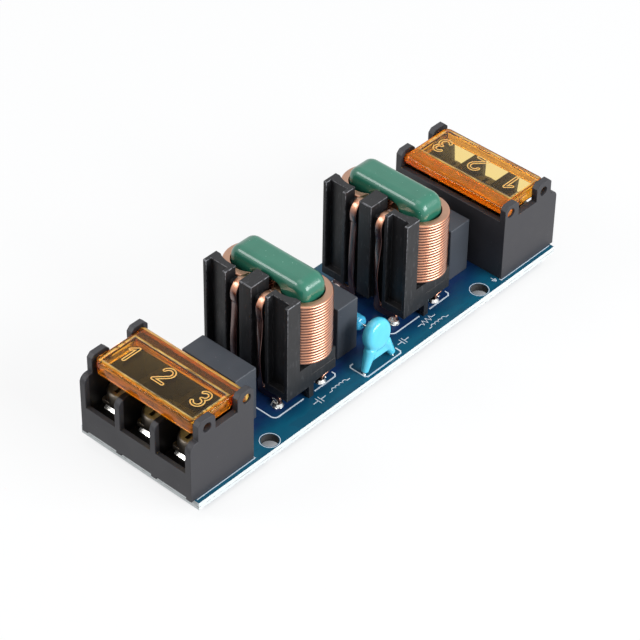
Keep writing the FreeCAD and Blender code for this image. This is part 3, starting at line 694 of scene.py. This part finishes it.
def lead_over_web(bm, x, y_sign, foot, bow):
    """From the top turn over the web, down between the fins and sideways to the pin."""
    y = choke_y + y_sign * front_lead_y
    face = x + front_lead_x
    over = ((x - 3.3 * MM, winding_top - 0.25 * MM), (x - 4.4 * MM, winding_top - 0.1 * MM),
            (x - 5.2 * MM, lead_crest + 0.2 * MM), (x - 6.7 * MM, lead_crest + 0.3 * MM),
            (face - 0.5 * MM, lead_crest - 1.3 * MM), (face - 0.35 * MM, lead_crest - 3.4 * MM))
    down = [Vector((along, y, height)) for along, height in over]
    turned = [0.0] * len(down)
    for height, out, across, turn in bow:
        down.append(Vector((face - out * MM, y + across * MM, board_top + height * MM)))
        turned.append(turn)
    ribbon(bm, down + [Vector((face, y, jog_height))], turned + [0.0], strip_width, strip_thickness)
    # the flat-cut stretch that goes sideways to the pin
    half = strip_width / 2
    inner = 0.3 * MM
    outer = 0.7 * MM
    blunt = 0.05 * MM
    outline = rounded_ring([
        (front_lead_y - half, jog_height + 2 * half, blunt),
        (front_lead_y + half, jog_height + 2 * half, blunt),
        (front_lead_y + half, jog_height + half, inner), (front_pin_y + half, jog_height + half, outer),
        (front_pin_y + half, foot, inner), (front_pin_y - half, foot, inner),
        (front_pin_y - half, jog_height - half, inner), (front_lead_y - half, jog_height - half, outer)])
    skin(bm, [[Vector((face + depth, choke_y + y_sign * a, z)) for a, z in outline]
              for depth in (-strip_thickness / 2, strip_thickness / 2)])


def winding(choke, side, y_sign, bow):
    """Turns of flat wire wound on edge, with the lead over the web and the lead to the rear pin."""
    node = "%s_choke_%s_winding" % (choke, side)
    core_low, core_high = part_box(choke + "_choke_core")
    x = (core_low.x + core_high.x) / 2
    y = choke_y + y_sign * winding_from_middle
    steps = 72
    bm = bmesh.new()
    centres, sides, ups = [], [], []
    middle = (winding_radius + winding_bore) / 2
    low = winding_bottom + turn_thickness / 2
    rise = (winding_top - winding_bottom - turn_thickness) / (turns - open_share)
    part_turn = (winding_stop - winding_start) / (2 * math.pi)
    for i in range(int((turns - 1) * steps + steps * part_turn) + 1):
        a = 2 * math.pi * i / steps + winding_start
        out = Vector((math.cos(a), y_sign * math.sin(a), 0))
        wander = turn_wander * noise.noise(Vector((i / steps * 1.7, y_sign * 3.0, x * 40)))
        centres.append(Vector((x, y, low + rise * i / steps)) + out * (middle + wander))
        sides.append(out)
        ups.append(Vector((0, 0, 1)))
    sweep(bm, centres, sides, ups, turn_section())
    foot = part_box(node)[0].z
    lead_over_web(bm, x, y_sign, foot, bow)
    lead_x = x + rear_lead_x
    pin_x = x + rear_pin_x
    rear_y = choke_y + y_sign * rear_lead_y
    places = ((lead_x, winding_bottom + 0.5 * MM), (lead_x, winding_bottom - 2 * MM), (lead_x, jog_height),
              (pin_x, jog_height), (pin_x, board_top), (pin_x, foot))
    rear = [Vector((along, rear_y, height)) for along, height in places]
    ribbon(bm, rear, [0.0] * len(rear), strip_width, strip_thickness)
    piece = finish_mesh(node + "_wire", bm, materials["copper_strip"], "root", smooth=40)
    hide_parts(node)


# How each front lead hangs: (height, outward, across) in millimetres, then its turn in degrees
lead_bows = {
    ("front", "far"): [(17.5, 0.0, 0.0, 0.0), (13.0, 0.25, 0.05, 0.0), (8.0, 0.45, 0.1, 5.0),
                       (4.0, 0.2, 0.1, 0.0)],
    ("front", "near"): [(17.0, 0.1, 0.0, 0.0), (13.5, 0.3, 0.0, -10.0), (9.0, 0.55, 0.0, -42.0),
                        (4.0, 0.15, 0.0, -20.0)],
    ("rear", "far"): [(17.5, 0.0, 0.0, 0.0), (13.0, 0.2, 0.1, 0.0), (8.0, 0.3, 0.15, 0.0),
                      (4.5, 0.3, 0.15, 0.0)],
    ("rear", "near"): [(17.0, 0.1, 0.0, 0.0), (13.0, 0.4, 0.1, -15.0), (8.5, 0.6, 0.1, -45.0),
                       (4.0, 0.15, 0.0, -20.0)],
}
for (choke, side), bow in lead_bows.items():
    winding(choke, side, 1 if side == "far" else -1, bow)

for end in ("front", "rear"):
    soften(end + "_terminal_housing", 0.14 * MM)
    soften(end + "_choke_base", 0.05 * MM)
    for number in (1, 2, 3):
        soften("%s_contact_%d" % (end, number), 0.1 * MM)
        soften("%s_clamp_washer_%d" % (end, number), 0.1 * MM)
for number in (1, 2, 3):
    soften("film_capacitor_%d_case" % number, 0.15 * MM)
for side in ("near", "far"):
    melt("disc_capacitor_%s_body" % side, 0.12 * MM, 42)


# Print on the board, in millimetres from its middle
ink_height = 0.03 * MM
outline_width = 0.26 * MM
block_line_width = 0.16 * MM
mark_width = 0.15 * MM
hole_ring_width = 0.12 * MM
hole_ring_height = 0.012 * MM
print_pitch = 31.1
side_line_y = 13.42
block_line_y = 12.9
block_line_start = 33.2
block_line_end = 47.4
hole_x = 28.25
hole_y = 12.2
hole_ring_radius = 1.84


def printed_line(bm, points, width=outline_width, thick=ink_height):
    """One line of ink through points in millimetres, with its corners mitred."""
    line = [Vector((x * MM, y * MM, board_top)) for x, y in points]
    rings = []
    for i, point in enumerate(line):
        ahead = (line[min(i + 1, len(line) - 1)] - point).normalized()
        back = (point - line[max(i - 1, 0)]).normalized()
        along = (ahead + back).normalized()
        side = Vector((-along.y, along.x, 0))
        lean = max(0.5, side.dot(Vector((-back.y, back.x, 0)) if i else side))
        side = side * (width / 2 / lean)
        lift = Vector((0, 0, thick))
        rings.append([point - side, point + side, point + side + lift, point - side + lift])
    skin(bm, rings)


def arc_line(x, y, radius, start, stop, steps=10):
    angles = [math.radians(start + (stop - start) * i / steps) for i in range(steps + 1)]
    return [(x + radius * math.cos(a), y + radius * math.sin(a)) for a in angles]


def choke_outline(bm, shift):
    for sign in (-1, 1):
        corner = arc_line(-22.7 + shift, sign * 8.15, 1.0, 180, 180 + sign * -90, 5)
        printed_line(bm, [(-23.7 + shift, sign * 3.5)] + corner + [(-16.3 + shift, sign * 9.15)])
        printed_line(bm, [(-13.5 + shift, sign * 9.15), (-8.1 + shift, sign * 9.15),
                          (-7.6 + shift, sign * 8.65), (-7.6 + shift, sign * 7.9)])


def disc_outline(bm, sign):
    printed_line(bm, [(5.1, sign * 11.8), (5.1, sign * 13.05), (4.7, sign * 13.46), (-4.1, sign * 13.46),
                      (-4.5, sign * 13.05), (-4.5, sign * 9.6), (-4.1, sign * 9.2), (-3.4, sign * 9.2)])


def coil_mark(bm, x, y, size):
    printed_line(bm, [(x, y), (x + size * 0.8, y)], mark_width)
    for k in range(4):
        printed_line(bm, arc_line(x + size * (1.3 + k), y, size / 2, 180, 0, 8), mark_width)
    printed_line(bm, [(x + size * 4.8, y), (x + size * 5.6, y)], mark_width)


def capacitor_mark(bm, x, y, size):
    for x0, y0, x1, y1 in ((0, 0, 1.4, 0), (1.4, -0.9, 1.4, 0.9), (2.1, -0.9, 2.1, 0.9), (2.1, 0, 3.5, 0)):
        printed_line(bm, [(x + x0 * size, y + y0 * size), (x + x1 * size, y + y1 * size)], mark_width)


def resistor_mark(bm, x, y, size):
    teeth = [(1.25 + 0.5 * k, 0.6 if k % 2 else -0.6) for k in range(6)]
    zigzag = [(1.0, 0.0)] + teeth + [(4.0, 0.0), (5.0, 0.0)]
    printed_line(bm, [(x, y)] + [(x + a * size, y + b * size) for a, b in zigzag], mark_width)


def earth_mark(bm, x, y, size):
    printed_line(bm, [(x, y), (x, y - size)], mark_width)
    for k in range(3):
        reach = size * (0.8 - 0.25 * k)
        level = y - size * (1 + 0.4 * k)
        printed_line(bm, [(x - reach, level), (x + reach, level)], mark_width)


bm = bmesh.new()
for shift in (0.0, print_pitch):
    choke_outline(bm, shift)
for sign in (-1, 1):
    disc_outline(bm, sign)
    for outward in (-1, 1):
        printed_line(bm, [(outward * block_line_start, sign * block_line_y),
                          (outward * block_line_start, sign * side_line_y),
                          (outward * block_line_end, sign * side_line_y)], block_line_width)
for sign in (-1, 1):
    for hole in (-1, 1):
        ring = arc_line(hole * hole_x, sign * hole_y, hole_ring_radius, 0, 358, 36)
        printed_line(bm, ring, hole_ring_width, hole_ring_height)
capacitor_mark(bm, -16.2, -11.4, 0.9)
coil_mark(bm, -12.0, -11.4, 0.95)
capacitor_mark(bm, 6.0, -11.6, 0.85)
resistor_mark(bm, 12.4, -10.9, 0.95)
coil_mark(bm, 13.4, -12.8, 0.95)
earth_mark(bm, 32.3, -11.6, 0.7)
earth_mark(bm, -32.3, 12.9, 0.7)
finish_mesh("board_print", bm, ink, "root")


def solder_blob(bm, x, y, z, size, seed):
    """A frozen drop with an uneven skin, resting on the board."""
    drop = bmesh.ops.create_icosphere(bm, subdivisions=4, radius=1.0)["verts"]
    for v in drop:
        n = v.co.normalized()
        # broad unevenness, then fine
        swell = 1.0 + 0.35 * noise.noise(n * 1.6 + Vector((seed, 0, 0)))
        swell += 0.12 * noise.noise(n * 4.5 + Vector((0, seed, 0)))
        v.co = Vector((x, y, z)) * MM + Vector((n.x * size[0], n.y * size[1], n.z * size[2])) * swell * MM
        v.co.z = max(v.co.z, board_top + 0.01 * MM)


# Drops and splashes at a winding's front lead and rear lead, in millimetres: the place along the
# board, across from choke_y and above the board, then the half sizes
solder_splashes = (
    (-20.52, 6.75, 0.75, (0.42, 0.75, 0.6)), (-20.7, 7.3, 0.3, (0.45, 0.4, 0.3)),
    (-21.5, 7.5, 0.12, (0.28, 0.3, 0.18)), (-21.0, 8.0, 0.1, (0.2, 0.3, 0.14)),
    (-10.72, 7.85, 0.3, (0.45, 0.75, 0.4)), (-10.9, 8.5, 0.1, (0.35, 0.22, 0.16)),
    (-9.6, 8.3, 0.1, (0.4, 0.16, 0.14)),
)
choke_pitch = 31.05
seed_step = 3.7

bm = bmesh.new()
for shift in (0.0, choke_pitch):
    for sign in (-1, 1):
        seed = shift + sign
        for x, y, z, size in solder_splashes:
            seed += seed_step
            solder_blob(bm, x + shift, choke_y / MM + sign * y, board_top / MM + z, size, seed)
finish_mesh("solder_drops", bm, materials["solder"], "root", smooth=80)


# Floor, light and camera
def shown_white(s, surface, share):
    """Camera, glossy and transmission rays see white, mixed over the lit surface by share."""
    rays = s.add("LightPath")
    seen = rays.outputs["Is Camera Ray"]
    for kind in ("Is Glossy Ray", "Is Transmission Ray"):
        seen = s.math("MAXIMUM", seen, rays.outputs[kind])
    white = s.add("Emission", {"Color": rgb(1, 1, 1), "Strength": 1.0}).outputs[0]
    return s.add("MixShader", {0: s.math("MULTIPLY", seen, share), 1: surface, 2: white}).outputs[0]


def floor():
    bm = bmesh.new()
    bmesh.ops.create_grid(bm, x_segments=1, y_segments=1, size=3.0)
    mesh = bpy.data.meshes.new("floor")
    bm.to_mesh(mesh)
    bm.free()
    s = Shader("floor")
    seen = s.add("LightPath").outputs["Is Camera Ray"]
    pale = s.mix(seen, (0.45, 0.46, 0.47), (0.95, 0.96, 0.97))
    diffuse = s.add("BsdfDiffuse", {"Color": pale}).outputs[0]
    under = s.math("MULTIPLY", s.within("X", 0.0, board_high.x - 2 * MM, 1 * MM),
                   s.within("Y", 0.0, board_high.y - 1.5 * MM, 1 * MM))
    share = s.span(under, 0.0, 1.0, 0.85, 0.1)
    s.tree.links.new(shown_white(s, diffuse, share), s.output.inputs["Surface"])
    mesh.materials.append(s.material)
    piece = bpy.data.objects.new("floor", mesh)
    bpy.context.scene.collection.objects.link(piece)


def softbox(name, place, aim, size_x, size_y, power, colour=(1.0, 1.0, 1.0)):
    light = bpy.data.lights.new(name, "AREA")
    light.shape = "RECTANGLE"
    light.size = size_x
    light.size_y = size_y
    light.energy = power
    light.color = colour
    lamp = bpy.data.objects.new(name, light)
    bpy.context.scene.collection.objects.link(lamp)
    lamp.location = place
    lamp.rotation_euler = (Vector(aim) - Vector(place)).to_track_quat("-Z", "Y").to_euler()


def world():
    studio = bpy.data.worlds.new("studio")
    studio.use_nodes = True
    tree = studio.node_tree
    tree.nodes.clear()
    rays = tree.nodes.new("ShaderNodeLightPath")
    seen = rays.outputs["Is Camera Ray"]
    for kind in ("Is Glossy Ray", "Is Transmission Ray"):
        either = tree.nodes.new("ShaderNodeMath")
        either.operation = "MAXIMUM"
        tree.links.new(seen, either.inputs[0])
        tree.links.new(rays.outputs[kind], either.inputs[1])
        seen = either.outputs[0]
    soft = tree.nodes.new("ShaderNodeBackground")
    soft.inputs["Color"].default_value = (0.93, 0.96, 1.0, 1.0)
    soft.inputs["Strength"].default_value = 0.2
    white = tree.nodes.new("ShaderNodeBackground")
    white.inputs["Color"].default_value = (1, 1, 1, 1)
    mix = tree.nodes.new("ShaderNodeMixShader")
    out = tree.nodes.new("ShaderNodeOutputWorld")
    tree.links.new(seen, mix.inputs[0])
    tree.links.new(soft.outputs[0], mix.inputs[1])
    tree.links.new(white.outputs[0], mix.inputs[2])
    tree.links.new(mix.outputs[0], out.inputs["Surface"])
    bpy.context.scene.world = studio


def camera():
    a = math.radians(camera_azimuth)
    e = math.radians(camera_elevation)
    r = math.radians(camera_roll)
    back = Vector((math.sin(a) * math.cos(e), -math.cos(a) * math.cos(e), math.sin(e)))
    level = Vector((math.cos(a), math.sin(a), 0))
    up = back.cross(level)
    right = level * math.cos(r) - up * math.sin(r)
    up = level * math.sin(r) + up * math.cos(r)
    place = Vector((0, 0, board_top)) + aim_offset + back * camera_distance
    data = bpy.data.cameras.new("camera")
    data.lens = camera_lens
    data.sensor_width = 36.0
    data.clip_start = 0.01
    data.clip_end = 20.0
    eye = bpy.data.objects.new("camera", data)
    turn = Matrix((right, up, back)).transposed().to_4x4()
    eye.matrix_world = Matrix.Translation(place) @ turn
    bpy.context.scene.collection.objects.link(eye)
    bpy.context.scene.camera = eye


floor()
world()
softbox("key_light", (0.17, -0.67, 0.36), (0, 0, 0.01), 0.6, 0.36, 7.4, (0.96, 0.98, 1.0))
softbox("top_light", (0.0, 0.1, 0.75), (0, 0, 0), 0.6, 0.5, 1.3)
softbox("back_light", (-0.51, 0.41, 0.46), (0, 0, 0.01), 0.36, 0.3, 2.2)
camera()
bpy.context.scene.view_settings.view_transform = "Standard"
